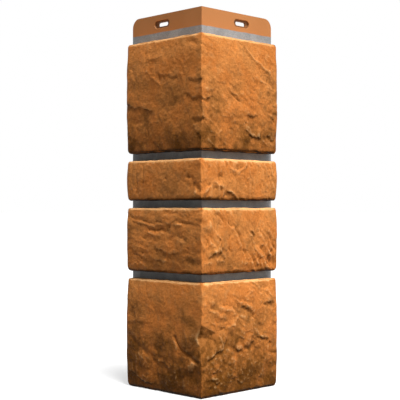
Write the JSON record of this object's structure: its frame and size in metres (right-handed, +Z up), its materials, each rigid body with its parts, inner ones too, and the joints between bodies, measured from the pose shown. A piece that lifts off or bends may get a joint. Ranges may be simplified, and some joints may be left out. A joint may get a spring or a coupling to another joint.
{
  "type": "facade panel outer corner",
  "caption": "Moulded stone-look outer corner for facade cladding: hollow courses with recessed mortar joints on both legs, and a slotted nailing flange along the top",
  "frame": {"origin": "middle of the footprint, at the lower end", "axes": "+Z up along the arris, front leg faces -Y, side leg faces +X, arris at (+X, -Y)"},
  "size_m": [0.1284, 0.1284, 0.4265],
  "materials": {
    "moulded_polymer": "orange-brown filled polymer, painted sandstone brown on the courses and mortar grey in the joints"
  },
  "bodies": {
    "root": {"corner_panel": "moulded_polymer"}
  },
  "joints": []
}
